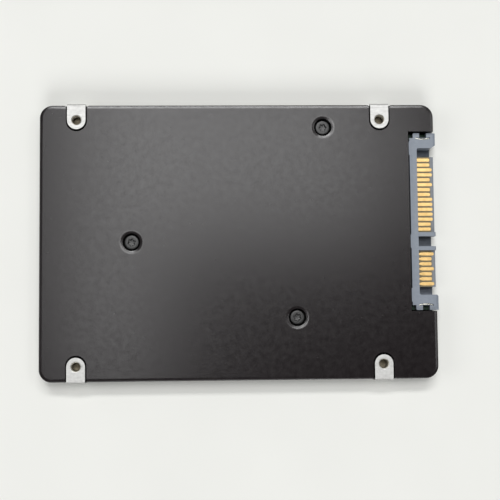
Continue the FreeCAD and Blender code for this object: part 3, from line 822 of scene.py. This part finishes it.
recess_point = screw_shape.verts.new((0, 0, screw_top - recess_depth - 0.12 * mm))
for step in range(around):
    after = (step + 1) % around
    screw_shape.faces.new((loops[0][after], loops[0][step], tip))
    screw_shape.faces.new((loops[-1][step], loops[-1][after], recess_point))
screw_mesh = bpy.data.meshes.new("cover_screw")
screw_shape.to_mesh(screw_mesh)
screw_shape.free()
screw_mesh.shade_smooth()
screw_mesh.set_sharp_from_angle(angle=math.radians(38))
screw_pattern = bpy.data.objects.new("screw_pattern", screw_mesh)

black_zinc, zinc_shader, zinc_place = start_finish("black_zinc")
film = between(black_zinc, grain(black_zinc, zinc_place, 0.3 * mm, detail=4), 0, 1)
zinc_height = along(black_zinc, zinc_place, "Z")
recess_floor = screw_top - recess_depth
# The head top and recess floor keep the zinc colour; recess walls, head sides and shank are painted
# near black as shade.
on_head = between(black_zinc, zinc_height, 0.15, 1, screw_top - 0.05 * mm, screw_top - 0.02 * mm)
in_recess = between(
    black_zinc, zinc_height, 1.3, 0, recess_floor - 0.01 * mm, recess_floor + 0.03 * mm
)
unshaded_faces = combine(black_zinc, "MAXIMUM", on_head, in_recess)
thin_film = between(black_zinc, film, 0.6, 1, 0, 1)
zinc_shade = combine(black_zinc, "MULTIPLY", thin_film, unshaded_faces)
zinc_colour = tint(black_zinc, zinc_shade, (0.002, 0.002, 0.002), (0.055, 0.055, 0.055))
join(black_zinc, zinc_colour, zinc_shader.inputs["Base Color"])
zinc_shader.inputs["Metallic"].default_value = 1.0
join(black_zinc, between(black_zinc, film, 0.34, 0.46, 0, 1), zinc_shader.inputs["Roughness"])
relief(black_zinc, zinc_shader, grain(black_zinc, zinc_place, 0.1 * mm), 0.003 * mm)

screw_tree, screw_in, screw_out = new_tree("screws_in_wells", {"Scale": 1.0})
pattern = tree_node(screw_tree, "GeometryNodeObjectInfo", {"Object": screw_pattern})
screw_turn = tree_node(
    screw_tree, "GeometryNodeInputNamedAttribute", {"Name": "turn"}, data_type="FLOAT_VECTOR"
)
driven = tree_node(
    screw_tree, "GeometryNodeInstanceOnPoints",
    {
        "Points": screw_in.outputs["Geometry"],
        "Instance": pattern.outputs["Geometry"],
        "Rotation": screw_turn.outputs["Attribute"],
        "Scale": screw_in.outputs["Scale"],
    },
)
close_tree(screw_tree, screw_out, driven.outputs["Instances"], black_zinc)
screw_turns = [(0, 0, 0.3), (0, 0, 0.75), (0, 0, 0.1)]
driven_screws = seats("driven_screws", [(x, y, 0) for x, y in screw_places], screw_turns)
grow(driven_screws, screw_tree, {"Scale": 1.0})
bpy.data.objects.remove(screw_pattern)
mount_as(driven_screws, "screw_black", "cover_screws")


# ---------------------------------------------------------------- floor, lamps and camera
# Plain pale sheet under the drive. Two ceiling lamps leave a soft reflection in the paint, a long
# lamp beyond the far side is the strongest, and weaker ones on the other sides fill in. The camera
# looks almost straight down.
floor_finish, floor_shader, floor_place = start_finish("pale_sheet")
cloud = between(floor_finish, grain(floor_finish, floor_place, 30 * mm), 0, 1)
join(
    floor_finish, tint(floor_finish, cloud, (0.83, 0.835, 0.80), (0.85, 0.855, 0.82)),
    floor_shader.inputs["Base Color"],
)
floor_shader.inputs["Roughness"].default_value = 0.9
floor_shader.inputs["Specular IOR Level"].default_value = 0.0
floor_half = 0.9
floor_mesh = bpy.data.meshes.new("pale_floor")
floor_mesh.from_pydata(
    [(-floor_half, -floor_half, 0), (floor_half, -floor_half, 0),
     (floor_half, floor_half, 0), (-floor_half, floor_half, 0)],
    [], [(0, 1, 2, 3)],
)
floor = bpy.data.objects.new("pale_floor", floor_mesh)
floor.location.z = -0.02 * mm
floor_mesh.materials.append(floor_finish)
bpy.context.scene.collection.objects.link(floor)


def lamp(name, place, size, level):
    """Soft rectangular lamp aimed at the drive; level is how bright it makes a white floor."""
    place = Vector(place)
    slant = place.normalized()
    light = bpy.data.lights.new(name, "AREA")
    light.shape = "RECTANGLE"
    light.size, light.size_y = size
    light.energy = level * math.pi ** 2 * place.length_squared / slant.z
    holder = bpy.data.objects.new(name, light)
    holder.location = place
    holder.rotation_mode = "QUATERNION"
    holder.rotation_quaternion = Vector((0, 0, 1)).rotation_difference(slant)
    bpy.context.scene.collection.objects.link(holder)


lamp("key_strip", (0.0, 0.83, 1.5), (0.9, 0.2), 0.29)
lamp("ceiling_square", (0.09, 0.31, 1.5), (0.44, 0.36), 0.165)
lamp("ceiling_strip", (-0.19, 0.3, 1.5), (0.15, 0.97), 0.165)
lamp("right_lamp", (0.87, 0.2, 1.5), (0.3, 0.8), 0.06)
lamp("left_lamp", (-1.3, 0.0, 1.2), (0.8, 0.8), 0.08)
lamp("near_lamp", (0.0, -1.3, 1.2), (0.8, 0.8), 0.22)

room_light = 0.1
world = bpy.data.worlds.new("soft_room")
bpy.context.scene.world = world
world.use_nodes = True
room = world.node_tree.nodes["Background"]
seen = world.node_tree.nodes.new("ShaderNodeLightPath").outputs["Is Camera Ray"]
backdrop = tint(world, seen, (room_light, room_light, room_light), (0.82, 0.83, 0.81))
join(world, backdrop, room.inputs["Color"])

camera_data = bpy.data.cameras.new("overhead_camera")
camera_data.sensor_width = 36
camera_data.lens = 72
camera_data.clip_start = 0.01
camera = bpy.data.objects.new("overhead_camera", camera_data)
camera.location = (-0.0069, -0.0203, 0.2566)
camera.rotation_mode = "ZYX"
camera.rotation_euler = (math.radians(4.15), math.radians(-2.13), math.radians(-0.42))
bpy.context.scene.collection.objects.link(camera)
bpy.context.scene.camera = camera
bpy.context.scene.view_settings.view_transform = "Standard"
